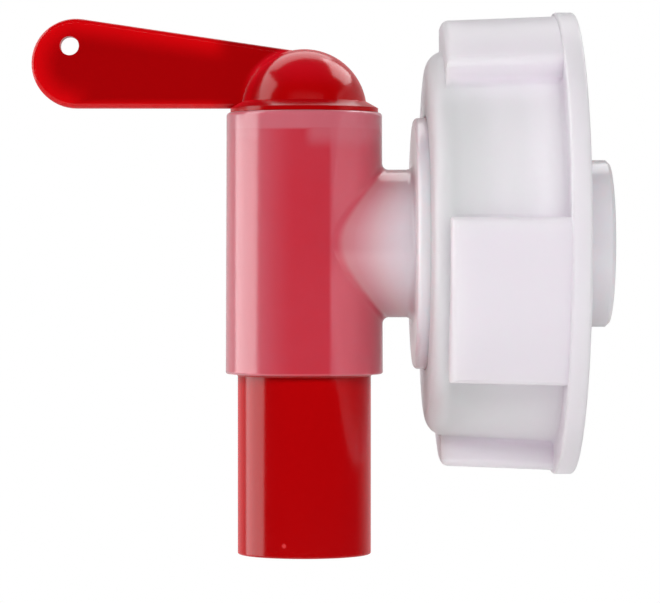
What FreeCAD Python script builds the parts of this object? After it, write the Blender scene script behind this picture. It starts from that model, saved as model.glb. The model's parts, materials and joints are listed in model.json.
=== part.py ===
import FreeCAD, Part
import math
import os
import re
import Sketcher

# Canister tap: a T-shaped moulding with an upright barrel, a turning plug with its lever
# and spout in one piece, and a loose union nut that pulls a gasket onto a canister's neck.
# Millimetres. The origin is on the inlet axis in the gasket's sealing face, +X points into
# the canister, +Z up, and the lever points along -X when the tap is open.

SIZES = {
    "axis_offset": (27.2, "sealing face to the plug's axis"),
    "barrel_top": (21.75, "inlet axis up to the barrel's top"),
    "barrel_drop": (21.7, "inlet axis down to the barrel's bottom"),
    "barrel_radius_top": (12.95, "barrel outside, top"),
    "barrel_radius_bottom": (13.1, "barrel outside, bottom"),
    "barrel_rounding": (0.6, "rounding of the barrel's top edge"),
    "barrel_foot_rounding": (0.4, "rounding of the barrel's bottom edge"),
    "neck_step": (0.65, "how much slimmer the neck between barrel and collar is than the barrel"),
    "neck_bore_radius": (9.9, "passage through the neck"),
    "neck_fillet": (1.2, "fillet where the neck meets the collar"),
    "junction_fillet": (1.0, "fillet where the neck meets the barrel"),
    "collar_radius": (20.9, "collar that the union nut turns on"),
    "collar_front": (9.1, "sealing face to the collar's front"),
    "collar_rounding": (0.8, "rounding of the collar's front edge"),
    "gasket_thickness": (2.0, "gasket thickness"),
    "gasket_inner_radius": (15.0, "gasket hole"),
    "spigot_radius": (13.9, "inlet spigot outside"),
    "spigot_bore_radius": (11.4, "inlet spigot inside"),
    "spigot_length": (23.5, "sealing face to the spigot's end"),
    "spigot_chamfer": (0.6, "chamfer at the spigot's end"),
    "bore_step": (0.5, "sealing face back to where the passage widens into the spigot"),
    "plug_radius": (11.4, "plug where it turns in the barrel"),
    "plug_clearance": (0.05, "radial running clearance of the plug"),
    "plug_bore_radius": (9.2, "passage down the plug and spout"),
    "plug_bore_top": (17.0, "inlet axis up to where the plug's passage closes in"),
    "port_radius": (8.6, "side port of the plug"),
    "head_clearance": (0.05, "gap between the plug's rim and the barrel's top"),
    "stop_step": (0.5, "radial depth of the stop recess"),
    "ledge_depth": (3.0, "barrel top down to the ledge of the wide mouth"),
    "recess_depth": (3.1, "ledge down to the floor of the stop recess"),
    "stop_clearance": (0.1, "gap between the stop lug and its recess"),
    "lug_angle": (39.0, "angle that the stop lug covers"),
    "lug_bearing": (253.5, "bearing of the lug's middle about the plug's axis"),
    "lever_travel": (90.0, "turn of the lever each way from open"),
    "travel_spare": (1.0, "spare turn of the recess past each end"),
    "snap_height": (19.0, "inlet axis down to the middle of the snap bead"),
    "snap_bead_height": (1.2, "height of the snap bead in the barrel"),
    "snap_bead_depth": (0.3, "how far the snap bead stands into the bore"),
    "snap_clearance": (0.25, "gap round the snap bead"),
    "ring_height": (12.5, "inlet axis to each seal ring's middle"),
    "ring_section": (1.1, "seal ring section across the radius"),
    "ring_gap": (0.02, "gap of a seal ring to its groove and to the barrel"),
    "ring_side_gap": (0.15, "gap above and below a seal ring"),
    "spout_radius": (11.1, "spout outside"),
    "spout_drop": (51.7, "inlet axis down to the spout's end"),
    "spout_rounding": (0.3, "rounding of the spout's outer edge"),
    "rim_radius": (12.3, "rim of the plug's head"),
    "rim_height": (0.7, "height of the rim's upright edge"),
    "slope_height": (1.1, "height of the slope from the rim to the dome"),
    "dome_radius": (10.43, "dome of the plug's head"),
    "dome_height": (21.9, "inlet axis up to the dome's centre"),
    "dome_wall": (2.4, "wall of the dome"),
    "blade_thickness": (3.6, "lever blade thickness"),
    "blade_bottom": (22.45, "inlet axis up to the blade's lower edge"),
    "blade_reach": (37.87, "plug's axis to the centre of the blade's round end"),
    "blade_end_radius": (7.42, "radius of the blade's round end"),
    "blade_drop": (0.52, "dome's top down to the blade's upper edge, on the plug's axis"),
    "blade_rounding": (0.8, "rounding of the blade's edges"),
    "blade_fillet": (0.5, "fillet between blade and dome"),
    "hole_radius": (1.57, "hanging hole"),
    "hole_back": (1.1, "hanging hole, from the end's centre towards the tip"),
    "hole_rise": (2.9, "hanging hole, above the end's centre"),
    "nut_clearance": (0.35, "radial gap between the nut's hole and the collar"),
    "nut_play": (0.1, "gap between the nut's front wall and the flange"),
    "nut_wall": (2.6, "front wall of the nut"),
    "flange_thickness": (2.4, "flange thickness"),
    "flange_room": (1.6, "radial room between the flange and the thread's crest"),
    "gasket_room": (0.9, "radial room between the gasket and the thread's crest"),
    "nut_depth": (17.35, "sealing face back to the nut's open end"),
    "nut_side_front": (1.4, "nut's side wall between the lobes, front"),
    "nut_side_rear": (2.4, "nut's side wall between the lobes, rear"),
    "nut_edge_radius": (3.3, "rounding of the nut's front edge"),
    "nut_rim_rise": (5.4, "height of the rim at the open end above the nut's side wall"),
    "nut_rim_width": (3.3, "width of the nut's rim"),
    "nut_rim_rounding": (0.5, "rounding of the nut's rim"),
    "nut_overlap": (0.5, "how far lobes and thread reach into the nut's wall"),
    "lobe_step": (0.65, "step from the rim down to the lobes' rear end"),
    "lobe_taper": (0.75, "how much lower the lobes are at their front end"),
    "lobe_front": (4.6, "sealing face forward to the front of the lobes"),
    "lobe_angle": (44.2, "angle that one lobe covers"),
    "lobe_count": (4, "number of lobes"),
    "lobe_rounding": (1.3, "rounding of the lobes' edges"),
    "lobe_fillet": (0.9, "fillet at the lobes' feet and along the rim's foot"),
    "nut_bearing": (15.8, "turn of the nut about the inlet axis"),
    "thread_radius": (30.6, "thread root radius in the nut"),
    "thread_depth": (1.4, "height of the thread's ridge"),
    "thread_pitch": (6.0, "thread pitch"),
    "thread_crest": (0.9, "width of the ridge's crest"),
    "thread_foot": (2.5, "width of the ridge's foot"),
    "thread_start": (1.0, "sealing face back to the first ridge"),
    "thread_length": (10.5, "travel of the ridge along the axis"),
    "mouth_chamfer": (0.8, "chamfer at the nut's mouth"),
    "cut_spare": (1.0, "how far a cut runs on past the surface it leaves through"),
}

# How far apart two places must lie to count as different ones, in millimetres, and how much
# volume a feature must add or take away to count as made, in cubic millimetres.
APART = 1.0
LEAST_CHANGE = 1.0

SHEET = "Sizes"
WORD = re.compile(r"[a-z][a-z_]*")


def cell(text):
    """The same text with each size's name written as a reference to its cell."""
    return WORD.sub(lambda found: f"{SHEET}.{found[0]}" if found[0] in SIZES else found[0], text)


def fill_sheet(doc):
    sheet = doc.addObject("Spreadsheet::Sheet", SHEET)
    for row, (name, (value, note)) in enumerate(SIZES.items(), start=1):
        sheet.set(f"A{row}", name)
        sheet.set(f"B{row}", str(value))
        sheet.set(f"C{row}", note)
        sheet.setAlias(f"B{row}", name)
    doc.recompute()
    return sheet


def number(owner, text):
    value = owner.evalExpression(cell(text))
    return float(getattr(value, "Value", value))


def bind(thing, **texts):
    """Tie properties to the sheet, with a double underscore for each dot in a property's path."""
    for path, text in texts.items():
        thing.setExpression(path.replace("__", "."), cell(text))


def new_body(doc, label):
    body = doc.addObject("PartDesign::Body", label)
    body.Label = label
    return body


def origin_plane(body, role):
    return next(item for item in body.Origin.OriginFeatures if item.Role == role)


def new_sketch(body, name, role, shift=None, axis=None, turn=None):
    """An empty sketch on one of the body's planes, moved along its own x and turned about an axis."""
    sketch = body.newObject("Sketcher::SketchObject", name)
    sketch.AttachmentSupport = (origin_plane(body, role), "")
    sketch.MapMode = "FlatFace"
    if turn:
        spin = FreeCAD.Rotation(FreeCAD.Vector(*axis), number(body, turn))
        sketch.AttachmentOffset = FreeCAD.Placement(FreeCAD.Vector(), spin)
        bind(sketch, AttachmentOffset__Rotation__Angle=turn)
    if shift:
        bind(sketch, AttachmentOffset__Base__x=shift)
    return sketch


def tie(sketch, kind, first, second, text, value):
    index = sketch.addConstraint(Sketcher.Constraint(kind, *first, *second, value))
    sketch.setExpression(f"Constraints[{index}]", cell(text))


def outline(sketch, points, arcs=()):
    """A closed outline through the points. A point is (x, y) as texts, and a third entry of "x" or
    "y" leaves that one to be found. arcs holds (segment, centre x, centre y, turns left)."""
    arcs = {segment: rest for segment, *rest in arcs}
    at = [FreeCAD.Vector(number(sketch, p[0]), number(sketch, p[1]), 0) for p in points]
    ends = []
    for i, start in enumerate(at):
        stop = at[(i + 1) % len(at)]
        if i not in arcs:
            edge = sketch.addGeometry(Part.LineSegment(start, stop))
            ends.append(((edge, 1), (edge, 2)))
            continue
        x, y, left = arcs[i]
        centre = FreeCAD.Vector(number(sketch, x), number(sketch, y), 0)
        circle = Part.Circle(centre, FreeCAD.Vector(0, 0, 1), start.distanceToPoint(centre))
        low, high = (start, stop) if left else (stop, start)
        edge = sketch.addGeometry(Part.ArcOfCircle(circle, circle.parameter(low), circle.parameter(high)))
        ends.append(((edge, 1), (edge, 2)) if left else ((edge, 2), (edge, 1)))
        tie(sketch, "DistanceX", (-1, 1), (edge, 3), x, centre.x)
        tie(sketch, "DistanceY", (-1, 1), (edge, 3), y, centre.y)
    for i, (start, stop) in enumerate(ends):
        sketch.addConstraint(Sketcher.Constraint("Coincident", *stop, *ends[(i + 1) % len(ends)][0]))
        x, y, *loose = points[i]
        if "x" not in loose:
            tie(sketch, "DistanceX", (-1, 1), start, x, at[i].x)
        if "y" not in loose:
            tie(sketch, "DistanceY", (-1, 1), start, y, at[i].y)


def circle(sketch, x, y, radius):
    centre = FreeCAD.Vector(number(sketch, x), number(sketch, y), 0)
    size = number(sketch, radius)
    edge = sketch.addGeometry(Part.Circle(centre, FreeCAD.Vector(0, 0, 1), size))
    tie(sketch, "DistanceX", (-1, 1), (edge, 3), x, centre.x)
    tie(sketch, "DistanceY", (-1, 1), (edge, 3), y, centre.y)
    index = sketch.addConstraint(Sketcher.Constraint("Radius", edge, size))
    sketch.setExpression(f"Constraints[{index}]", cell(radius))


def turned(body, kind, name, sketch, axis, angle="360"):
    """A Revolution or a Groove of the sketch about its own H_Axis or V_Axis, centred on its plane."""
    feature = body.newObject(f"PartDesign::{kind}", name)
    feature.Profile = sketch
    feature.ReferenceAxis = (sketch, [axis])
    feature.Midplane = angle != "360"
    bind(feature, Angle=angle)
    return feature


def shape_volume(doc, body):
    doc.recompute()
    return body.Shape.Volume


def cut_through(doc, body, make):
    """Make a cutting feature and see that it took material away."""
    before = shape_volume(doc, body)
    feature = make()
    if not shape_volume(doc, body) < before - LEAST_CHANGE:
        raise ValueError(f"{feature.Label} cuts nothing")
    return feature


def rounded(doc, body, name, radius, chosen, kind="Fillet"):
    """Round or chamfer the edges of the body's last feature that the test chooses."""
    doc.recompute()
    base = body.Tip
    names = [f"Edge{i}" for i, edge in enumerate(base.Shape.Edges, start=1) if chosen(edge)]
    if not names:
        raise ValueError(f"{name} finds no edge")
    feature = body.newObject(f"PartDesign::{kind}", name)
    feature.Base = (base, names)
    if kind == "Fillet":
        bind(feature, Radius=radius)
    else:
        bind(feature, Size=radius)
    doc.recompute()
    return feature


BORE = "plug_radius + plug_clearance"
MOUTH = f"{BORE} + stop_step"
NECK = "barrel_radius_top - neck_step"
THREAD_CREST = "thread_radius - thread_depth"
FLANGE = f"{THREAD_CREST} - flange_room"
GASKET = f"{THREAD_CREST} - gasket_room"
NUT_FRONT = "thread_radius + nut_side_front"
NUT_REAR = "thread_radius + nut_side_rear"
NUT_RIM = f"{NUT_REAR} + nut_rim_rise"
LOBE_REAR = f"{NUT_RIM} - lobe_step"
LOBE_FRONT = f"{LOBE_REAR} - lobe_taper"
FLANGE_FRONT = "-gasket_thickness - flange_thickness"
RECESS_FLOOR = "barrel_top - ledge_depth - recess_depth"
LEDGE = "barrel_top - ledge_depth"


def near(value, wanted, slack=0.01):
    return abs(value - wanted) < slack


def along(edge):
    """The edge's two ends and its middle."""
    first, last = edge.ParameterRange
    return [edge.valueAt(place) for place in (first, (first + last) / 2, last)]


def ring_edge(edge, x=None, z=None, radius=None):
    """Is this edge a full circle at this place along its own axis and of this radius?"""
    if edge.Degenerated or not edge.isClosed() or edge.Curve.TypeId != "Part::GeomCircle":
        return False
    if x is not None and not near(edge.Curve.Center.x, x):
        return False
    if z is not None and not near(edge.Curve.Center.z, z):
        return False
    return radius is None or near(edge.Curve.Radius, radius)


def make_tap_body(doc):
    """Barrel, neck, collar, flange and inlet spigot, one moulding."""
    body = new_body(doc, "tap_body")
    spine = new_sketch(body, "InletOutline", "XZ_Plane")
    outline(
        spine,
        [
            ("-axis_offset", "0"),
            ("-axis_offset", NECK),
            ("-collar_front", NECK),
            ("-collar_front", "collar_radius"),
            (FLANGE_FRONT, "collar_radius"),
            (FLANGE_FRONT, FLANGE),
            ("-gasket_thickness", FLANGE),
            ("-gasket_thickness", "spigot_radius"),
            ("spigot_length", "spigot_radius"),
            ("spigot_length", "0"),
        ],
    )
    turned(body, "Revolution", "InletSide", spine, "H_Axis")
    barrel = new_sketch(body, "BarrelOutline", "XZ_Plane", shift="-axis_offset")
    outline(
        barrel,
        [
            ("0", "-barrel_drop"),
            ("barrel_radius_bottom", "-barrel_drop"),
            ("barrel_radius_top", "barrel_top"),
            ("0", "barrel_top"),
        ],
    )
    turned(body, "Revolution", "Barrel", barrel, "V_Axis")
    front = -number(body, "collar_front")
    neck = number(body, NECK)
    collar = number(body, "collar_radius")
    rounded(doc, body, "NeckFillet", "neck_fillet", lambda e: ring_edge(e, x=front, radius=neck))
    rounded(doc, body, "CollarEdge", "collar_rounding", lambda e: ring_edge(e, x=front, radius=collar))
    end = number(body, "spigot_length")
    rounded(doc, body, "SpigotEdge", "spigot_chamfer", lambda e: ring_edge(e, x=end), kind="Chamfer")
    top, foot = number(body, "barrel_top"), number(body, "-barrel_drop")
    rounded(doc, body, "BarrelEdge", "barrel_rounding", lambda e: ring_edge(e, z=top))
    rounded(doc, body, "BarrelFoot", "barrel_foot_rounding", lambda e: ring_edge(e, z=foot))
    axis = number(body, "-axis_offset")
    widest = max(number(body, "barrel_radius_top"), number(body, "barrel_radius_bottom"))

    def joins_barrel(edge):
        if edge.Degenerated:
            return False
        points = along(edge)
        on_neck = all(near(math.hypot(point.y, point.z), neck) for point in points)
        return on_neck and all(math.hypot(point.x - axis, point.y) < widest + APART for point in points)

    rounded(doc, body, "NeckFoot", "junction_fillet", joins_barrel)

    bore = new_sketch(body, "BarrelBore", "XZ_Plane", shift="-axis_offset")
    bead = f"{BORE} - snap_bead_depth"
    outline(
        bore,
        [
            ("0", "-barrel_drop - cut_spare"),
            (BORE, "-barrel_drop - cut_spare"),
            (BORE, "-snap_height - snap_bead_height / 2"),
            (bead, "-snap_height - snap_bead_height / 2 + snap_bead_depth"),
            (bead, "-snap_height + snap_bead_height / 2 - snap_bead_depth"),
            (BORE, "-snap_height + snap_bead_height / 2"),
            (BORE, LEDGE),
            (MOUTH, LEDGE),
            (MOUTH, "barrel_top + cut_spare"),
            ("0", "barrel_top + cut_spare"),
        ],
    )
    cut_through(doc, body, lambda: turned(body, "Groove", "BarrelPassage", bore, "V_Axis"))

    inlet = new_sketch(body, "InletBore", "XZ_Plane")
    outline(
        inlet,
        [
            ("-axis_offset", "0"),
            ("-axis_offset", "neck_bore_radius"),
            ("bore_step - (spigot_bore_radius - neck_bore_radius)", "neck_bore_radius"),
            ("bore_step", "spigot_bore_radius"),
            ("spigot_length + cut_spare", "spigot_bore_radius"),
            ("spigot_length + cut_spare", "0"),
        ],
    )
    cut_through(doc, body, lambda: turned(body, "Groove", "InletPassage", inlet, "H_Axis"))

    recess = new_sketch(
        body, "RecessOutline", "XZ_Plane", shift="-axis_offset", axis=(0, 1, 0), turn="lug_bearing"
    )
    outline(
        recess,
        [
            ("plug_radius - stop_step", RECESS_FLOOR),
            (MOUTH, RECESS_FLOOR),
            (MOUTH, f"{LEDGE} + stop_step"),
            ("plug_radius - stop_step", f"{LEDGE} + stop_step"),
        ],
    )
    sweep = "lug_angle + 2 * (lever_travel + travel_spare)"
    cut_through(doc, body, lambda: turned(body, "Groove", "StopRecess", recess, "V_Axis", sweep))
    return body


def make_plug(doc):
    """Lever, domed head, turning plug and spout, one hollow moulding in its open position."""
    body = new_body(doc, "plug")
    bind(body, Placement__Base__x="-axis_offset")
    blade = new_sketch(body, "BladeOutline", "XZ_Plane")
    centre = ("-blade_reach", "blade_bottom + blade_end_radius")
    hub = "dome_height + dome_radius - blade_drop"
    rise = f"blade_bottom + blade_end_radius - ({hub})"
    slope = f"atan(({rise}) / blade_reach) + asin(blade_end_radius / sqrt(blade_reach ^ 2 + ({rise}) ^ 2))"
    crest = (
        f"-blade_reach + blade_end_radius * sin({slope})",
        f"blade_bottom + blade_end_radius * (1 + cos({slope}))",
    )
    outline(
        blade,
        [
            ("0", "blade_bottom"),
            ("0", hub),
            crest,
            ("-blade_reach", "blade_bottom", "y"),
        ],
        arcs=[(2, *centre, True)],
    )
    pad = body.newObject("PartDesign::Pad", "Blade")
    pad.Profile = blade
    pad.Midplane = True
    bind(pad, Length="blade_thickness")
    doc.recompute()
    half = number(body, "blade_thickness / 2")

    def on_flank(edge):
        box = edge.BoundBox
        return near(box.YMin, box.YMax) and near(abs(box.YMax), half) and box.XMin < -APART

    rounded(doc, body, "BladeEdge", "blade_rounding", on_flank)

    ring_low = "ring_section / 2 + ring_side_gap"
    groove = f"{BORE} - 2 * ring_gap - ring_section"
    snap = f"{BORE} - snap_bead_depth - snap_clearance"
    snap_half = "snap_bead_height / 2 + snap_clearance"
    rim_base = "barrel_top + head_clearance"
    slope_top = f"{rim_base} + rim_height + slope_height"
    step = "-barrel_drop - head_clearance"
    shell = new_sketch(body, "PlugOutline", "XZ_Plane")
    points = [
        ("0", "-spout_drop"),
        ("spout_radius", "-spout_drop"),
        ("spout_radius", f"{step} - (plug_radius - spout_radius)"),
        ("plug_radius", step),
        ("plug_radius", f"-snap_height - ({snap_half})"),
        (snap, f"-snap_height - ({snap_half})"),
        (snap, f"-snap_height + {snap_half}"),
        ("plug_radius", f"-snap_height + {snap_half}"),
    ]
    for place in ("-ring_height", "ring_height"):
        points += [
            ("plug_radius", f"{place} - ({ring_low})"),
            (groove, f"{place} - ({ring_low})"),
            (groove, f"{place} + {ring_low}"),
            ("plug_radius", f"{place} + {ring_low}"),
        ]
    points += [
        ("plug_radius", rim_base),
        ("rim_radius", rim_base),
        ("rim_radius", f"{rim_base} + rim_height"),
        (f"sqrt(dome_radius ^ 2 - ({slope_top} - dome_height) ^ 2)", slope_top),
        ("0", "dome_height + dome_radius", "y"),
    ]
    outline(shell, points, arcs=[(len(points) - 2, "0", "dome_height", True)])
    turned(body, "Revolution", "PlugShell", shell, "V_Axis")

    lug = new_sketch(body, "LugOutline", "XZ_Plane", axis=(0, 1, 0), turn="lug_bearing")
    outline(
        lug,
        [
            ("plug_radius - stop_step", f"{RECESS_FLOOR} + stop_clearance"),
            (f"{MOUTH} - stop_clearance", f"{RECESS_FLOOR} + stop_clearance"),
            (f"{MOUTH} - stop_clearance", f"{LEDGE} - stop_clearance"),
            ("plug_radius - stop_step", f"{LEDGE} - stop_clearance"),
        ],
    )
    turned(body, "Revolution", "StopLug", lug, "V_Axis", "lug_angle")

    dome = number(body, "dome_radius")
    dome_z = number(body, "dome_height")
    middle = FreeCAD.Vector(0, 0, dome_z)

    def joins_dome(edge):
        if edge.Degenerated:
            return False
        on_dome = all(near(point.distanceToPoint(middle), dome) for point in along(edge))
        return on_dome and all(point.x < -APART and abs(point.y) < half + APART for point in along(edge))

    rounded(doc, body, "BladeFoot", "blade_fillet", joins_dome)
    end = number(body, "-spout_drop")
    rounded(doc, body, "SpoutEdge", "spout_rounding", lambda e: ring_edge(e, z=end))

    bore = new_sketch(body, "PlugBore", "XZ_Plane")
    inner = "dome_radius - dome_wall"
    outline(
        bore,
        [
            ("0", "-spout_drop - cut_spare"),
            ("plug_bore_radius", "-spout_drop - cut_spare"),
            ("plug_bore_radius", "plug_bore_top"),
            (inner, "dome_height"),
            ("0", f"dome_height + {inner}", "y"),
        ],
        arcs=[(3, "0", "dome_height", True)],
    )
    cut_through(doc, body, lambda: turned(body, "Groove", "PlugPassage", bore, "V_Axis"))

    port = new_sketch(body, "PortOutline", "YZ_Plane")
    circle(port, "0", "0", "port_radius")

    def open_port():
        cut = body.newObject("PartDesign::Pocket", "SidePort")
        cut.Profile = port
        cut.Reversed = True
        bind(cut, Length="plug_radius + cut_spare")
        return cut

    cut_through(doc, body, open_port)

    hole = new_sketch(body, "HoleOutline", "XZ_Plane")
    circle(hole, "-blade_reach - hole_back", "blade_bottom + blade_end_radius + hole_rise", "hole_radius")

    def drill():
        cut = body.newObject("PartDesign::Pocket", "HangingHole")
        cut.Profile = hole
        cut.Midplane = True
        bind(cut, Length="blade_thickness + cut_spare")
        return cut

    cut_through(doc, body, drill)
    return body


def make_union_nut(doc):
    """Loose nut with four broad grip lobes, an open front for the collar and an inner thread."""
    body = new_body(doc, "union_nut")
    body.Placement = FreeCAD.Placement(
        FreeCAD.Vector(), FreeCAD.Rotation(FreeCAD.Vector(1, 0, 0), number(body, "nut_bearing"))
    )
    bind(body, Placement__Rotation__Angle="nut_bearing")
    hole = "collar_radius + nut_clearance"
    inside = f"{FLANGE_FRONT} - nut_play"
    front = f"{inside} - nut_wall"
    rim_front = "nut_depth - nut_rim_width"
    shell = new_sketch(body, "NutOutline", "XZ_Plane")
    outline(
        shell,
        [
            (front, hole),
            (inside, hole),
            (inside, "thread_radius"),
            ("nut_depth - mouth_chamfer", "thread_radius"),
            ("nut_depth", "thread_radius + mouth_chamfer"),
            ("nut_depth", NUT_RIM),
            (rim_front, NUT_RIM),
            (rim_front, NUT_REAR),
            (f"{front} + nut_edge_radius", NUT_FRONT),
            (front, f"{NUT_FRONT} - nut_edge_radius", "x"),
        ],
        arcs=[(8, f"{front} + nut_edge_radius", f"{NUT_FRONT} - nut_edge_radius", True)],
    )
    turned(body, "Revolution", "NutShell", shell, "H_Axis")

    lobe = new_sketch(body, "LobeOutline", "XZ_Plane")
    outline(
        lobe,
        [
            ("-lobe_front", f"{NUT_FRONT} - nut_overlap"),
            (rim_front, f"{NUT_FRONT} - nut_overlap"),
            (rim_front, LOBE_REAR),
            ("-lobe_front", LOBE_FRONT),
        ],
    )
    first = turned(body, "Revolution", "Lobe", lobe, "H_Axis", "lobe_angle")
    pattern = body.newObject("PartDesign::PolarPattern", "Lobes")
    pattern.Originals = [first]
    pattern.Axis = (lobe, ["H_Axis"])
    pattern.Angle = 360
    bind(pattern, Occurrences="lobe_count")
    body.Tip = pattern

    low, high = (number(body, place) for place in ("-lobe_front", rim_front))
    low_radius, high_radius = (number(body, radius) for radius in (LOBE_FRONT, LOBE_REAR))
    side_start = number(body, f"{front} + nut_edge_radius")
    side_low, side_high = (number(body, radius) for radius in (NUT_FRONT, NUT_REAR))

    def on_cone(edge, start, start_radius, end_radius):
        """Does this open edge lie on the cone between these places along the inlet axis?"""
        if edge.Degenerated or edge.isClosed():
            return False
        rise = (end_radius - start_radius) / (high - start)
        return all(near(math.hypot(p.y, p.z), start_radius + rise * (p.x - start)) for p in along(edge))

    def on_lobe(edge):
        return on_cone(edge, low, low_radius, high_radius) and min(p.x for p in along(edge)) < high - APART

    def at_foot(edge):
        reaches_rim = near(max(p.x for p in along(edge)), high)
        return reaches_rim and on_cone(edge, side_start, side_low, side_high)

    rounded(doc, body, "LobeEdges", "lobe_rounding", on_lobe)
    rounded(doc, body, "LobeFeet", "lobe_fillet", at_foot)
    rim = number(body, NUT_RIM)
    rounded(doc, body, "RimEdges", "nut_rim_rounding", lambda e: ring_edge(e, radius=rim))

    ridge = new_sketch(body, "ThreadOutline", "XZ_Plane")
    outline(
        ridge,
        [
            ("thread_start", "thread_radius + nut_overlap"),
            ("thread_start", "thread_radius"),
            ("thread_start + (thread_foot - thread_crest) / 2", THREAD_CREST),
            ("thread_start + (thread_foot + thread_crest) / 2", THREAD_CREST),
            ("thread_start + thread_foot", "thread_radius"),
            ("thread_start + thread_foot", "thread_radius + nut_overlap"),
        ],
    )
    before = shape_volume(doc, body)
    helix = body.newObject("PartDesign::AdditiveHelix", "Thread")
    helix.Profile = ridge
    helix.ReferenceAxis = (ridge, ["H_Axis"])
    helix.Mode = 0
    bind(helix, Pitch="thread_pitch", Height="thread_length")
    if not shape_volume(doc, body) > before + LEAST_CHANGE:
        raise ValueError("The thread adds nothing")
    return body


def make_ring(doc, label, profile_points, axis="H_Axis", shift=None):
    """A plain ring turned from a closed outline."""
    body = new_body(doc, label)
    sketch = new_sketch(body, f"{label}_outline", "XZ_Plane", shift=shift)
    outline(sketch, profile_points)
    turned(body, "Revolution", f"{label}_turned", sketch, axis)
    return body


def make_flange_gasket(doc):
    return make_ring(
        doc,
        "flange_gasket",
        [
            ("-gasket_thickness", "gasket_inner_radius"),
            ("0", "gasket_inner_radius"),
            ("0", GASKET),
            ("-gasket_thickness", GASKET),
        ],
    )


def make_seal_ring(doc, label, height):
    """A round-section ring in the plug's groove, at the height given from the inlet axis."""
    body = new_body(doc, label)
    sketch = new_sketch(body, f"{label}_outline", "XZ_Plane", shift="-axis_offset")
    circle(sketch, f"{BORE} - ring_gap - ring_section / 2", height, "ring_section / 2")
    turned(body, "Revolution", f"{label}_turned", sketch, "V_Axis")
    return body


def check(doc, bodies):
    for item in doc.Objects:
        if {"Invalid", "Error"} & set(item.State):
            raise ValueError(f"{item.Label} failed: {item.State}")
    for body in bodies:
        if body.Shape.isNull() or not body.Shape.isValid():
            raise ValueError(f"{body.Label} has no valid shape")


def main():
    doc = FreeCAD.newDocument("canister_tap")
    fill_sheet(doc)
    bodies = [
        make_tap_body(doc),
        make_flange_gasket(doc),
        make_plug(doc),
        make_seal_ring(doc, "upper_seal_ring", "ring_height"),
        make_seal_ring(doc, "lower_seal_ring", "-ring_height"),
        make_union_nut(doc),
    ]
    doc.recompute()
    check(doc, bodies)
    os.makedirs("parts", exist_ok=True)
    for body in bodies:
        body.Shape.exportStep(f"parts/{body.Label}.step")
        box = body.Shape.BoundBox
        print(f"{body.Label}: {len(body.Shape.Solids)} solid, {body.Shape.Volume:.0f} mm3, {box}")


main()
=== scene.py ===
import json

import bpy
from bpy.props import FloatProperty, FloatVectorProperty, PointerProperty
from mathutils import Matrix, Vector


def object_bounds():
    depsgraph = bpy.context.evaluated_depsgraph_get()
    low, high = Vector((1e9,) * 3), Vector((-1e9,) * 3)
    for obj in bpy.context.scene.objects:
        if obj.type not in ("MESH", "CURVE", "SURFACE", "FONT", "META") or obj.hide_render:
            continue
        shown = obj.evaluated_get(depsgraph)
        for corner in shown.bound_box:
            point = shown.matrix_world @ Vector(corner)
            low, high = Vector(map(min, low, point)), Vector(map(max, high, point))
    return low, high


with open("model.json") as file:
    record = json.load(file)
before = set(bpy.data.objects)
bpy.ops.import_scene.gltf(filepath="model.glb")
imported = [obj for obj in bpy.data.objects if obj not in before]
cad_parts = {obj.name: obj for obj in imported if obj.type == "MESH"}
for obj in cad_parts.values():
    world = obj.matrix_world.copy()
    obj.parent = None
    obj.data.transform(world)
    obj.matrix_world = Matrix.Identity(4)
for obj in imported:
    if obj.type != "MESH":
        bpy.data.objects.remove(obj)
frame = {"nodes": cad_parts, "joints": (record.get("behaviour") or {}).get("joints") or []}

bl_info = {
    "name": "Canister Tap",
    "version": (1, 0, 0),
    "blender": (4, 5, 0),
    "location": "3D View > Sidebar > Canister Tap",
    "description": "Finishes the pieces of a canister tap and sets up its studio",
    "category": "Object",
}

CAD_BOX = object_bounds()
PLUG_AXIS = Vector(next(joint["pos_m"] for joint in frame["joints"] if joint["name"] == "plug_turn"))
ORIGIN = (0.0, 0.0, 0.0)

# What axis_distance measures from: one axis through the centre, or the centre itself.
ABOUT_X = (0.0, 1.0, 1.0)
ABOUT_Y = (1.0, 0.0, 1.0)
ABOUT_Z = (1.0, 1.0, 0.0)
FROM_CENTRE = (1.0, 1.0, 1.0)

# A pair of numbers is a stretch over which one look gives way to the next. It is in metres, apart
# from the world's.

# The lever's outline in the frame: its foot's height, the direction square to its crest and the
# crest's place along that direction, and the middle of its round tip.
LEVER_FOOT = 0.02245
LEVER_CREST = (0.1452, 0.0, 0.9894)
LEVER_CREST_HEIGHT = 0.027523
LEVER_TIP = (-0.06507, 0.0, 0.02987)

# The lever's bright edge, painted light on its thin, rounded edges: how wide it is along the
# crest and the foot, its distances from the tip's middle, the X over which the tip takes over, and
# the X over which it starts.
CREST_EDGE = 0.0045
FOOT_EDGE = 0.0018
TIP_EDGE = (0.0025, 0.0074)
TIP_START = (-0.062, -0.067)
EDGE_START = (-0.039, -0.043)

# The lever begins above this height and this far from the dome's centre. The head is painted
# paler upwards: painted light from above, shining through its thin top.
DOME_CENTRE = (-0.0272, 0.0, 0.0219)
LEVER_HEIGHT = (0.0220, 0.0225)
LEVER_REACH = (0.0106, 0.0116)
HEAD_PAINTED_LIGHT = (0.0250, 0.0305)

# How much flow marks lighten and darken the red.
FLOW_LIGHT = 1.06
FLOW_DARK = 0.94

# The spot near the spout's end where the mould was filled, and its radius.
GATE_MARK = (-0.03067, -0.01054, -0.0496)
GATE_RADIUS = (0.0005, 0.0002)
GATE_COLOUR = (0.66, 0.04, 0.045)

# The barrel's wall ends this far from the plug's axis. Out from there the red that shows in the
# neck fades: at these distances the neck has these shares of the plain milky colour.
WALL_END = (0.01325, 0.0139)
NECK_STOPS = (0.0138, 0.0146, 0.016, 0.018, 0.020, 0.024, 0.034)
NECK_SHARES = (0.0, 0.06, 0.28, 0.60, 0.82, 1.0, 1.0)
NECK_FADE = NECK_STOPS[-1]
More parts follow.
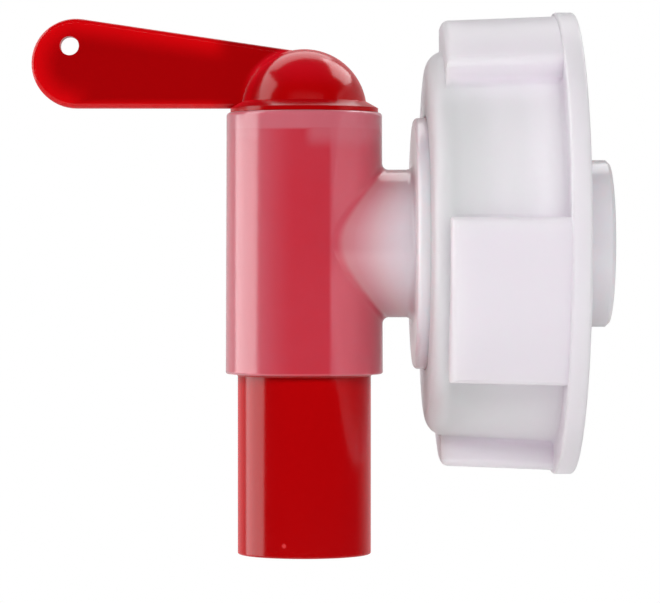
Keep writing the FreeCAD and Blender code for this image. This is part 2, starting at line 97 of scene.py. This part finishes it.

# Where the plug shows through the barrel, in heights and in X from the plug's axis: the wide mouth,
# the sides where a gap parts wall and plug, and the stop recess, which is pale beside the plug's
# stop lug. The side away from the nut is painted paler, as a painted sheen beside the highlight
# there. The shares are of the mouth's colour.
MOUTH_HEIGHT = (0.0184, 0.0190)
GAP_RIGHT = (0.0037, 0.0045)
GAP_LEFT = (-0.0015, -0.0085)
FAR_SIDE_SHEEN = (-0.0050, -0.0105)
FAR_SHEEN_SHARE = 0.6
RECESS_HEIGHT = (0.0150, 0.0180)
LUG_RIGHT = (-0.0006, 0.0016)
LUG_LEFT = (-0.0070, -0.0080)
RECESS_SHARE = 0.75

# The X over which the neck's colour gives way to the inlet spigot's.
SPIGOT_START = (0.010, 0.014)

# How much flow marks show in the milky pieces and in the barrel's red.
BODY_FLOW = 0.12
BARREL_FLOW = 0.5
NUT_FLOW = 0.3

# The nut is thick at its lobes, outwards from its axis, and along X at its rim and its front, and
# keeps its darker colour there; its thin wall elsewhere is painted paler, as painted light shining
# through. Flow marks shade it a little, and it is rougher than the body.
LOBE_RADIUS = (0.0328, 0.0345)
RIM_START = (0.0125, 0.0145)
FRONT_START = (-0.002, -0.0045)
NUT_SHADE = 0.97
NUT_ROUGHER = 0.2

FOAM_DARK = (0.55, 0.55, 0.56)
FOAM_LIGHT = (0.74, 0.74, 0.75)
RUBBER_DARK = (0.012, 0.012, 0.013)
RUBBER_LIGHT = (0.03, 0.03, 0.032)

# The floor is a disc. Its white is held back near the tap, so that the shadow stays, and is full
# at its rim.
FLOOR_RADIUS = 0.3
FLOOR_CORNERS = 96
FLOOR_FADE = (0.12, FLOOR_RADIUS)
FLOOR_LEAST_WHITE = 0.6

# Directions in the world, as parts of a unit vector: down to the pale ground, and from the dark
# front of the room to its pale back wall.
GROUND_BELOW = (-0.15, -0.3)
ROOM_DEPTH = (0.1, 0.95)

# Each softbox: its name, its setting, its place from the tap's middle, its width and height, and
# the kind of ray that doesn't see it.
LEFT_PLACE = (-0.545, 0.07, 0.17)
SOFTBOXES = (
    ("Left Softbox", "left_light", LEFT_PLACE, 0.53, 0.70, "visible_diffuse"),
    ("Left Fill", "side_light", LEFT_PLACE, 0.53, 0.70, "visible_glossy"),
    ("Right Softbox", "right_light", (0.39, 0.26, 0.46), 0.45, 0.33, "visible_diffuse"),
    ("Top Softbox", "top_light", (-0.1, 0.42, 0.58), 0.75, 0.4, "visible_diffuse"),
    ("Fill Softbox", "fill_light", (0.1, -1.38, 0.64), 1.7, 0.5, "visible_glossy"),
)

# The width of the camera's sensor in millimetres, and how near and how far it sees in metres.
CAMERA_SENSOR = 36.0
CAMERA_NEAR = 0.01
CAMERA_FAR = 100.0


# Settings

class RedPlasticSettings(bpy.types.PropertyGroup):
    colour: FloatVectorProperty(
        name="Colour",
        description="Colour of the red moulding",
        subtype="COLOR",
        size=3,
        min=0.0,
        max=1.0,
        default=(0.41, 0.0, 0.001),
    )
    # Painted shade: the lever's flat face, lit only at a slant, is painted darker; its plastic is also
    # thicker.
    lever_shade_colour: FloatVectorProperty(
        name="Lever Colour",
        description="Colour of the lever, which is thicker than the hollow head and spout",
        subtype="COLOR",
        size=3,
        min=0.0,
        max=1.0,
        default=(0.345, 0.0, 0.001),
    )
    # Painted light: the head's top is painted paler, as light from above shining through its thin
    # wall.
    head_light_colour: FloatVectorProperty(
        name="Head Colour",
        description="Colour at the top of the head, which is thin and passes more light",
        subtype="COLOR",
        size=3,
        min=0.0,
        max=1.0,
        default=(0.60, 0.004, 0.012),
    )
    # Painted light: the lever's edges are painted brighter, as light on their rounded, thin plastic.
    edge_light_colour: FloatVectorProperty(
        name="Edge Colour",
        description="Colour of the lever towards its edges, where it is thin",
        subtype="COLOR",
        size=3,
        min=0.0,
        max=1.0,
        default=(0.64, 0.001, 0.003),
    )
    roughness: FloatProperty(
        name="Roughness",
        description="Roughness of the red moulding",
        min=0.0,
        max=1.0,
        default=0.16,
    )


class MilkyPlasticSettings(bpy.types.PropertyGroup):
    colour: FloatVectorProperty(
        name="Colour",
        description="Colour of the milky plastic where it is thick",
        subtype="COLOR",
        size=3,
        min=0.0,
        max=1.0,
        default=(0.79, 0.75, 0.80),
    )
    # Painted light on the nut, whose thin wall is painted paler as light shining through; on the body
    # it is also the pale tone of the flow marks.
    thin_glow_and_flow_colour: FloatVectorProperty(
        name="Thin Colour",
        description="Colour of the milky plastic where its wall is thin",
        subtype="COLOR",
        size=3,
        min=0.0,
        max=1.0,
        default=(0.87, 0.81, 0.88),
    )
    plug_colour: FloatVectorProperty(
        name="Plug Showing Through",
        description="Colour of the barrel's wall with the red plug behind it",
        subtype="COLOR",
        size=3,
        min=0.0,
        max=1.0,
        default=(0.54, 0.022, 0.042),
    )
    gap_colour: FloatVectorProperty(
        name="Plug Behind a Gap",
        description="Colour of the barrel's wall where a thin gap parts it from the plug",
        subtype="COLOR",
        size=3,
        min=0.0,
        max=1.0,
        default=(0.57, 0.085, 0.12),
    )
    spigot_colour: FloatVectorProperty(
        name="Spigot Colour",
        description="Colour of the inlet spigot at the nut's open end",
        subtype="COLOR",
        size=3,
        min=0.0,
        max=1.0,
        default=(0.85, 0.82, 0.86),
    )
    neck_colour: FloatVectorProperty(
        name="Neck Beside the Barrel",
        description="Colour of the neck where it meets the barrel",
        subtype="COLOR",
        size=3,
        min=0.0,
        max=1.0,
        default=(0.56, 0.17, 0.20),
    )
    mouth_colour: FloatVectorProperty(
        name="Barrel Mouth",
        description="Colour of the barrel's top, where its mouth is wider than the plug",
        subtype="COLOR",
        size=3,
        min=0.0,
        max=1.0,
        default=(0.58, 0.135, 0.175),
    )
    roughness: FloatProperty(
        name="Roughness",
        description="Roughness of the milky plastic",
        min=0.0,
        max=1.0,
        default=0.18,
    )


class StageSettings(bpy.types.PropertyGroup):
    camera_place: FloatVectorProperty(
        name="Camera Place",
        description="Where the camera stands",
        subtype="TRANSLATION",
        unit="LENGTH",
        size=3,
        default=(-0.03425, -0.5717, -0.00275),
    )
    camera_aim: FloatVectorProperty(
        name="Camera Aim",
        description="The point in the middle of the picture",
        subtype="TRANSLATION",
        unit="LENGTH",
        size=3,
        default=(-0.02292, 0.0, -0.00967),
    )
    picture_width: FloatProperty(
        name="Picture Width",
        description="Width that the picture covers at the tap",
        unit="LENGTH",
        default=0.110,
    )
    floor_gap: FloatProperty(
        name="Floor Gap",
        description="Height of the spout's end above the floor",
        unit="LENGTH",
        default=0.045,
    )
    floor_colour: FloatVectorProperty(
        name="Floor Colour",
        description="Colour of the floor",
        subtype="COLOR",
        size=3,
        min=0.0,
        max=1.0,
        default=(0.86, 0.86, 0.86),
    )
    floor_glow: FloatProperty(
        name="Floor Glow",
        description="Light that the floor adds, so that it lights the tap as the white it shows",
        min=0.0,
        max=1.0,
        default=0.25,
    )
    front_light: FloatProperty(
        name="Room Light, Front",
        description="Strength of the light from the dark end of the room, behind the camera",
        min=0.0,
        default=0.02,
    )
    back_light: FloatProperty(
        name="Room Light, Back",
        description="Strength of the light from the pale wall behind the tap",
        min=0.0,
        default=0.55,
    )
    low_light: FloatProperty(
        name="Room Light, Below",
        description="Strength of the light from the pale ground around the floor's disc",
        min=0.0,
        default=0.8,
    )
    left_light: FloatProperty(
        name="Left Softbox",
        description="Power of the tall softbox on the left",
        unit="POWER",
        min=0.0,
        default=3.6,
    )
    side_light: FloatProperty(
        name="Left Fill",
        description="Power of the matt light from the left, which makes no highlight",
        unit="POWER",
        min=0.0,
        default=4.5,
    )
    right_light: FloatProperty(
        name="Right Softbox",
        description="Power of the broad softbox on the right",
        unit="POWER",
        min=0.0,
        default=2.0,
    )
    top_light: FloatProperty(
        name="Top Softbox",
        description="Power of the softbox overhead",
        unit="POWER",
        min=0.0,
        default=1.8,
    )
    fill_light: FloatProperty(
        name="Fill Softbox",
        description="Power of the large softbox behind the camera",
        unit="POWER",
        min=0.0,
        default=21.5,
    )


# Materials

def new_tree(name):
    """A fresh material, its node tree and its Principled shader."""
    material = bpy.data.materials.new(name)
    material.use_nodes = True
    return material, material.node_tree, material.node_tree.nodes["Principled BSDF"]


def add_node(tree, kind, values=None, **settings):
    """A node with its settings and its inputs' values, by name or number."""
    node = tree.nodes.new(kind)
    for name, value in settings.items():
        setattr(node, name, value)
    for socket, value in (values or {}).items():
        node.inputs[socket].default_value = value
    return node


def ramp(tree, value, low, high, smooth=True):
    """From 0 at low to 1 at high."""
    node = add_node(tree, "ShaderNodeMapRange", {"From Min": low, "From Max": high})
    node.interpolation_type = "SMOOTHSTEP" if smooth else "LINEAR"
    tree.links.new(value, node.inputs["Value"])
    return node.outputs["Result"]


def combine(tree, operation, first, second):
    """One Math node on two sockets or numbers."""
    node = add_node(tree, "ShaderNodeMath", operation=operation)
    for socket, value in zip(node.inputs, (first, second)):
        if isinstance(value, (int, float)):
            socket.default_value = value
        else:
            tree.links.new(value, socket)
    return node.outputs["Value"]


def blend_colours(tree, factor, first, second):
    """A Mix node from the first colour to the second, each a colour or a socket."""
    node = add_node(tree, "ShaderNodeMix", data_type="RGBA")
    tree.links.new(factor, node.inputs["Factor"])
    for socket, colour in ((node.inputs["A"], first), (node.inputs["B"], second)):
        if hasattr(colour, "links"):
            tree.links.new(colour, socket)
        else:
            socket.default_value = (*colour, 1.0)
    return node.outputs["Result"]


def object_place(tree):
    """The point on the piece, in the frame."""
    return add_node(tree, "ShaderNodeTexCoord").outputs["Object"]


def seen_directly(tree):
    """1 for rays from the camera, also through glass, and 0 for light on the tap."""
    rays = add_node(tree, "ShaderNodeLightPath")
    return combine(tree, "MAXIMUM", rays.outputs["Is Camera Ray"], rays.outputs["Is Transmission Ray"])


def group_socket(tree, name, direction, kind="NodeSocketFloat", default=None):
    socket = tree.interface.new_socket(name=name, in_out=direction, socket_type=kind)
    if default is not None:
        socket.default_value = default
    return socket


def moulded_surface_group():
    """Faint flow marks and a fine satin grain, as on an injection moulding."""
    name = "Moulded Surface"
    if name in bpy.data.node_groups:
        return bpy.data.node_groups[name]
    tree = bpy.data.node_groups.new(name, "ShaderNodeTree")
    group_socket(tree, "Roughness", "INPUT", default=0.3)
    group_socket(tree, "Roughness Spread", "INPUT", default=0.05)
    group_socket(tree, "Grain Depth", "INPUT", default=0.00001)
    group_socket(tree, "Flow", "OUTPUT")
    group_socket(tree, "Roughness", "OUTPUT")
    group_socket(tree, "Normal", "OUTPUT", "NodeSocketVector")
    inside = add_node(tree, "NodeGroupInput")
    outside = add_node(tree, "NodeGroupOutput")
    place = object_place(tree)
    flow = add_node(tree, "ShaderNodeTexNoise", {"Scale": 45.0, "Detail": 3.0})
    grain = add_node(tree, "ShaderNodeTexNoise", {"Scale": 2200.0, "Detail": 2.0})
    for texture in (flow, grain):
        tree.links.new(place, texture.inputs["Vector"])
    swing = combine(tree, "SUBTRACT", flow.outputs["Fac"], 0.5)
    spread = combine(tree, "MULTIPLY", inside.outputs["Roughness Spread"], swing)
    roughness = combine(tree, "ADD", inside.outputs["Roughness"], spread)
    bump = add_node(tree, "ShaderNodeBump", {"Strength": 0.3})
    tree.links.new(inside.outputs["Grain Depth"], bump.inputs["Distance"])
    tree.links.new(grain.outputs["Fac"], bump.inputs["Height"])
    tree.links.new(flow.outputs["Fac"], outside.inputs["Flow"])
    tree.links.new(roughness, outside.inputs["Roughness"])
    tree.links.new(bump.outputs["Normal"], outside.inputs["Normal"])
    return tree


def add_moulded_surface(tree, shader, roughness, spread, depth):
    """Puts the shared moulding grain on the shader and returns its flow mask."""
    group = add_node(tree, "ShaderNodeGroup", node_tree=moulded_surface_group())
    group.inputs["Roughness"].default_value = roughness
    group.inputs["Roughness Spread"].default_value = spread
    group.inputs["Grain Depth"].default_value = depth
    tree.links.new(group.outputs["Roughness"], shader.inputs["Roughness"])
    tree.links.new(group.outputs["Normal"], shader.inputs["Normal"])
    return group.outputs["Flow"]


def axis_distance(tree, centre, scale):
    """Distance from the centre, or from an axis through it, along which scale is 0."""
    place = object_place(tree)
    shifted = add_node(tree, "ShaderNodeVectorMath", {1: tuple(centre)}, operation="SUBTRACT")
    across = add_node(tree, "ShaderNodeVectorMath", {1: scale}, operation="MULTIPLY")
    length = add_node(tree, "ShaderNodeVectorMath", operation="LENGTH")
    tree.links.new(place, shifted.inputs[0])
    tree.links.new(shifted.outputs["Vector"], across.inputs[0])
    tree.links.new(across.outputs["Vector"], length.inputs[0])
    return length.outputs["Value"]


def along_direction(tree, direction):
    """How far a point lies along a direction."""
    place = object_place(tree)
    dot = add_node(tree, "ShaderNodeVectorMath", {1: direction}, operation="DOT_PRODUCT")
    tree.links.new(place, dot.inputs[0])
    return dot.outputs["Value"]


def coordinate(tree, letter):
    """X, Y or Z of the point on the piece."""
    place = object_place(tree)
    split = add_node(tree, "ShaderNodeSeparateXYZ")
    tree.links.new(place, split.inputs["Vector"])
    return split.outputs[letter]


def painted_edge_light(tree):
    """1 along the lever's outline, fading inwards over a few millimetres: the mask of the painted
    light on its thin, rounded edges.
    """
    upper = along_direction(tree, LEVER_CREST)
    lower = coordinate(tree, "Z")
    tip = axis_distance(tree, LEVER_TIP, ABOUT_Y)
    across = coordinate(tree, "X")
    crest = ramp(tree, upper, LEVER_CREST_HEIGHT - CREST_EDGE, LEVER_CREST_HEIGHT)
    foot = ramp(tree, lower, LEVER_FOOT + FOOT_EDGE, LEVER_FOOT)
    outline = combine(tree, "MAXIMUM", crest, foot)
    end = combine(tree, "MULTIPLY", ramp(tree, tip, *TIP_EDGE), ramp(tree, across, *TIP_START))
    lever = ramp(tree, across, *EDGE_START)
    return combine(tree, "MULTIPLY", combine(tree, "MAXIMUM", outline, end), lever)


def red_plastic(settings):
    """Glossy red plastic, with painted light at the lever's edges and the head's top, where it is
    thin, and painted shade on the lever's face.
    """
    material, tree, shader = new_tree("Red Plastic")
    flow = add_moulded_surface(tree, shader, settings.roughness, spread=0.05, depth=0.000006)
    light = [min(1.0, channel * FLOW_LIGHT) for channel in settings.colour]
    dark = [channel * FLOW_DARK for channel in settings.colour]
    height = coordinate(tree, "Z")
    off_dome = ramp(tree, axis_distance(tree, DOME_CENTRE, FROM_CENTRE), *LEVER_REACH)
    lever = combine(tree, "MULTIPLY", ramp(tree, height, *LEVER_HEIGHT), off_dome)
    marked = blend_colours(tree, flow, dark, light)
    # Painted light: the head is painted paler upwards.
    shell = blend_colours(tree, ramp(tree, height, *HEAD_PAINTED_LIGHT), marked, settings.head_light_colour)
    # Painted shade: the lever is painted darker.
    plain = blend_colours(tree, lever, shell, settings.lever_shade_colour)
    # Painted light along the lever's edges.
    edged = blend_colours(tree, painted_edge_light(tree), plain, settings.edge_light_colour)
    gate = ramp(tree, axis_distance(tree, GATE_MARK, FROM_CENTRE), *GATE_RADIUS)
    tree.links.new(blend_colours(tree, gate, edged, GATE_COLOUR), shader.inputs["Base Color"])
    shader.inputs["Specular IOR Level"].default_value = 0.36
    shader.inputs["Sheen Weight"].default_value = 0.6
    shader.inputs["Sheen Roughness"].default_value = 0.45
    shader.inputs["Sheen Tint"].default_value = (1.0, 0.02, 0.04, 1.0)
    return material


def neck_colours(settings):
    """The neck's colours from the barrel outwards, at the reaches in NECK_STOPS."""
    pink, pale = Vector(settings.neck_colour), Vector(settings.colour)
    return [pink.lerp(pale, share) for share in NECK_SHARES]


def milky_body_plastic(settings):
    """Milky plastic, tinted where the red plug stands close behind its wall."""
    material, tree, shader = new_tree("Milky Body Plastic")
    flow = add_moulded_surface(tree, shader, settings.roughness, spread=0.05, depth=0.000008)
    distance = axis_distance(tree, PLUG_AXIS, ABOUT_Z)
    away = ramp(tree, distance, *WALL_END)
    neck = add_node(tree, "ShaderNodeValToRGB")
    tree.links.new(ramp(tree, distance, 0.0, NECK_FADE, smooth=False), neck.inputs["Fac"])
    stops = neck.color_ramp.elements
    for reach, colour in zip(NECK_STOPS, neck_colours(settings)):
        stop = stops[0] if reach == NECK_STOPS[0] else stops.new(reach / NECK_FADE)
        stop.position = reach / NECK_FADE
        stop.color = (*colour, 1.0)
    stops.remove(stops[-1])
    height = coordinate(tree, "Z")
    mouth = ramp(tree, height, *MOUTH_HEIGHT)
    along = coordinate(tree, "X")
    across = combine(tree, "SUBTRACT", along, PLUG_AXIS.x)
    gap = combine(tree, "MAXIMUM", ramp(tree, across, *GAP_RIGHT), ramp(tree, across, *GAP_LEFT))
    no_lug = combine(tree, "MAXIMUM", ramp(tree, across, *LUG_RIGHT), ramp(tree, across, *LUG_LEFT))
    recess = combine(tree, "MULTIPLY", ramp(tree, height, *RECESS_HEIGHT), no_lug)
    cloud = combine(tree, "MULTIPLY", flow, BODY_FLOW)
    pale = blend_colours(tree, cloud, neck.outputs["Color"], settings.thin_glow_and_flow_colour)
    milky = blend_colours(tree, ramp(tree, along, *SPIGOT_START), pale, settings.spigot_colour)
    patches = combine(tree, "MULTIPLY", flow, BARREL_FLOW)
    touching = blend_colours(tree, patches, settings.plug_colour, settings.gap_colour)
    wall = blend_colours(tree, gap, touching, settings.gap_colour)
    # Painted sheen: the side away from the nut is painted paler.
    painted_sheen = combine(tree, "MULTIPLY", ramp(tree, across, *FAR_SIDE_SHEEN), FAR_SHEEN_SHARE)
    paler = combine(tree, "MAXIMUM", painted_sheen, combine(tree, "MULTIPLY", recess, RECESS_SHARE))
    tinted = blend_colours(tree, combine(tree, "MAXIMUM", mouth, paler), wall, settings.mouth_colour)
    tree.links.new(blend_colours(tree, away, tinted, milky), shader.inputs["Base Color"])
    shader.inputs["Subsurface Weight"].default_value = 0.6
    shader.inputs["Subsurface Scale"].default_value = 0.003
    shader.inputs["Subsurface Radius"].default_value = (1.0, 0.7, 0.75)
    shader.inputs["Specular IOR Level"].default_value = 0.85
    shader.inputs["Sheen Weight"].default_value = 0.4
    shader.inputs["Sheen Roughness"].default_value = 0.4
    shader.inputs["Sheen Tint"].default_value = (1.0, 0.86, 0.88, 1.0)
    return material


def milky_nut_plastic(settings):
    """Milky plastic, painted paler where the nut's wall is thin: painted light shining through it."""
    material, tree, shader = new_tree("Milky Nut Plastic")
    rougher = settings.roughness + NUT_ROUGHER
    flow = add_moulded_surface(tree, shader, rougher, spread=0.05, depth=0.000008)
    radius = axis_distance(tree, ORIGIN, ABOUT_X)
    along = coordinate(tree, "X")
    ends = combine(tree, "MAXIMUM", ramp(tree, along, *RIM_START), ramp(tree, along, *FRONT_START))
    thick = combine(tree, "MAXIMUM", ramp(tree, radius, *LOBE_RADIUS), ends)
    # Painted light: the thin wall is painted paler than the thick lobes, rim and front.
    milky = blend_colours(tree, thick, settings.thin_glow_and_flow_colour, settings.colour)
    shade = [channel * NUT_SHADE for channel in settings.colour]
    marks = combine(tree, "MULTIPLY", flow, NUT_FLOW)
    tree.links.new(blend_colours(tree, marks, milky, shade), shader.inputs["Base Color"])
    shader.inputs["Subsurface Weight"].default_value = 1.0
    shader.inputs["Subsurface Scale"].default_value = 0.006
    shader.inputs["Subsurface Radius"].default_value = (1.0, 0.9, 0.95)
    return material


def gasket_foam():
    """Pale foam with fine cells."""
    material, tree, shader = new_tree("Gasket Foam")
    place = object_place(tree)
    cells = add_node(tree, "ShaderNodeTexVoronoi", {"Scale": 1400.0})
    tree.links.new(place, cells.inputs["Vector"])
    bump = add_node(tree, "ShaderNodeBump", {"Strength": 0.5, "Distance": 0.00015})
    tree.links.new(cells.outputs["Distance"], bump.inputs["Height"])
    tree.links.new(bump.outputs["Normal"], shader.inputs["Normal"])
    colour = blend_colours(tree, cells.outputs["Distance"], FOAM_DARK, FOAM_LIGHT)
    tree.links.new(colour, shader.inputs["Base Color"])
    shader.inputs["Roughness"].default_value = 0.8
    return material


def ring_rubber():
    """Dark rubber with faint flow marks."""
    material, tree, shader = new_tree("Ring Rubber")
    flow = add_moulded_surface(tree, shader, roughness=0.5, spread=0.1, depth=0.00001)
    tree.links.new(blend_colours(tree, flow, RUBBER_DARK, RUBBER_LIGHT), shader.inputs["Base Color"])
    return material


def finish_node(node, material):
    """Gives a CAD node its finished material."""
    frame["nodes"][node].data.materials.clear()
    frame["nodes"][node].data.materials.append(material)


# Operators

class TAP_OT_plug(bpy.types.Operator):
    """Finish the plug, with its lever and spout, in red plastic"""

    bl_idname = "tap.plug"
    bl_label = "Plug and Lever"

    def execute(self, context):
        finish_node("plug", red_plastic(context.scene.tap_red))
        return {"FINISHED"}


class TAP_OT_body(bpy.types.Operator):
    """Finish the tap's body in milky plastic"""

    bl_idname = "tap.body"
    bl_label = "Tap Body"

    def execute(self, context):
        finish_node("tap_body", milky_body_plastic(context.scene.tap_milky))
        return {"FINISHED"}


class TAP_OT_nut(bpy.types.Operator):
    """Finish the union nut in milky plastic"""

    bl_idname = "tap.nut"
    bl_label = "Union Nut"

    def execute(self, context):
        finish_node("union_nut", milky_nut_plastic(context.scene.tap_milky))
        return {"FINISHED"}


class TAP_OT_seals(bpy.types.Operator):
    """Finish the flange gasket and the two seal rings"""

    bl_idname = "tap.seals"
    bl_label = "Gasket and Seal Rings"

    def execute(self, context):
        finish_node("flange_gasket", gasket_foam())
        rubber = ring_rubber()
        for node in ("upper_seal_ring", "lower_seal_ring"):
            finish_node(node, rubber)
        return {"FINISHED"}


def add_softbox(name, place, aim, width, height, power):
    """A rectangular area lamp that faces the aim."""
    bpy.ops.object.light_add(type="AREA", location=place)
    lamp = bpy.context.object
    lamp.name = name
    lamp.rotation_euler = (Vector(aim) - Vector(place)).to_track_quat("-Z", "Y").to_euler()
    lamp.data.shape = "RECTANGLE"
    lamp.data.size = width
    lamp.data.size_y = height
    lamp.data.energy = power
    lamp.visible_camera = False
    return lamp


def add_floor(settings):
    """A white disc under the tap, which shows the shadow and lights the tap a little."""
    bpy.ops.mesh.primitive_circle_add(
        vertices=FLOOR_CORNERS,
        radius=FLOOR_RADIUS,
        fill_type="NGON",
        location=(0.0, 0.0, CAD_BOX[0].z - settings.floor_gap),
    )
    floor = bpy.context.object
    floor.name = "Floor"
    material, tree, shader = new_tree("Floor")
    shader.inputs["Base Color"].default_value = (*settings.floor_colour, 1.0)
    shader.inputs["Roughness"].default_value = 0.9
    shader.inputs["Specular IOR Level"].default_value = 0.0
    shader.inputs["Emission Color"].default_value = (1.0, 1.0, 1.0, 1.0)
    away = ramp(tree, axis_distance(tree, ORIGIN, ABOUT_Z), *FLOOR_FADE)
    white = ramp(tree, away, 0.0, 1.0)
    white.node.inputs["To Min"].default_value = FLOOR_LEAST_WHITE
    shown = combine(tree, "MULTIPLY", seen_directly(tree), white)
    glow = combine(tree, "MAXIMUM", shown, settings.floor_glow)
    tree.links.new(glow, shader.inputs["Emission Strength"])
    floor.data.materials.append(material)


def light_world(settings):
    """A white background, which lights the tap as a room with a dark front and a pale back."""
    world = bpy.data.worlds.new("Studio")
    bpy.context.scene.world = world
    world.use_nodes = True
    tree = world.node_tree
    background = tree.nodes["Background"]
    background.inputs["Color"].default_value = (1.0, 1.0, 1.0, 1.0)
    direction = add_node(tree, "ShaderNodeTexCoord").outputs["Generated"]
    split = add_node(tree, "ShaderNodeSeparateXYZ")
    tree.links.new(direction, split.inputs["Vector"])
    ground = ramp(tree, split.outputs["Z"], *GROUND_BELOW)
    below = combine(tree, "MULTIPLY", ground, settings.low_light)
    room = ramp(tree, split.outputs["Y"], *ROOM_DEPTH)
    room.node.inputs["To Min"].default_value = settings.front_light
    room.node.inputs["To Max"].default_value = settings.back_light
    lit = combine(tree, "MAXIMUM", room, below)
    strength = combine(tree, "MAXIMUM", seen_directly(tree), lit)
    tree.links.new(strength, background.inputs["Strength"])


def add_camera(settings):
    """A camera that covers the picture's width at its aim."""
    place = Vector(settings.camera_place)
    aim = Vector(settings.camera_aim)
    bpy.ops.object.camera_add(location=place)
    camera = bpy.context.object
    camera.name = "Camera"
    camera.rotation_euler = (aim - place).to_track_quat("-Z", "Y").to_euler()
    camera.data.sensor_width = CAMERA_SENSOR
    camera.data.lens = camera.data.sensor_width * (aim - place).length / settings.picture_width
    camera.data.clip_start = CAMERA_NEAR
    camera.data.clip_end = CAMERA_FAR
    bpy.context.scene.camera = camera


class TAP_OT_stage(bpy.types.Operator):
    """Make the floor, the studio's lamps and the camera"""

    bl_idname = "tap.stage"
    bl_label = "Stage"

    def execute(self, context):
        settings = context.scene.tap_stage
        add_floor(settings)
        light_world(settings)
        aim = (CAD_BOX[0] + CAD_BOX[1]) / 2
        for name, setting, offset, width, height, unseen_by in SOFTBOXES:
            power = getattr(settings, setting)
            lamp = add_softbox(name, aim + Vector(offset), aim, width, height, power)
            setattr(lamp, unseen_by, False)
        add_camera(settings)
        context.scene.view_settings.view_transform = "Standard"
        return {"FINISHED"}


class TAP_PT_panel(bpy.types.Panel):
    """Lists the settings and the operators"""

    bl_idname = "TAP_PT_panel"
    bl_label = "Canister Tap"
    bl_space_type = "VIEW_3D"
    bl_region_type = "UI"
    bl_category = "Canister Tap"

    def draw(self, context):
        layout = self.layout
        for heading, settings in (
            ("Red Plastic", context.scene.tap_red),
            ("Milky Plastic", context.scene.tap_milky),
            ("Stage", context.scene.tap_stage),
        ):
            box = layout.box()
            box.label(text=heading)
            for name in settings.__annotations__:
                box.prop(settings, name)
        for operator in OPERATORS:
            layout.operator(operator.bl_idname)


SETTINGS = (RedPlasticSettings, MilkyPlasticSettings, StageSettings)
OPERATORS = (TAP_OT_plug, TAP_OT_body, TAP_OT_nut, TAP_OT_seals, TAP_OT_stage)


def register():
    for made in (*SETTINGS, *OPERATORS, TAP_PT_panel):
        bpy.utils.register_class(made)
    bpy.types.Scene.tap_red = PointerProperty(type=RedPlasticSettings)
    bpy.types.Scene.tap_milky = PointerProperty(type=MilkyPlasticSettings)
    bpy.types.Scene.tap_stage = PointerProperty(type=StageSettings)


def unregister():
    del bpy.types.Scene.tap_stage
    del bpy.types.Scene.tap_milky
    del bpy.types.Scene.tap_red
    for made in reversed((*SETTINGS, *OPERATORS, TAP_PT_panel)):
        bpy.utils.unregister_class(made)


def main():
    register()
    bpy.ops.object.select_all(action="DESELECT")
    bpy.ops.tap.plug()
    bpy.ops.tap.body()
    bpy.ops.tap.nut()
    bpy.ops.tap.seals()
    bpy.ops.tap.stage()


if __name__ == "__main__":
    main()
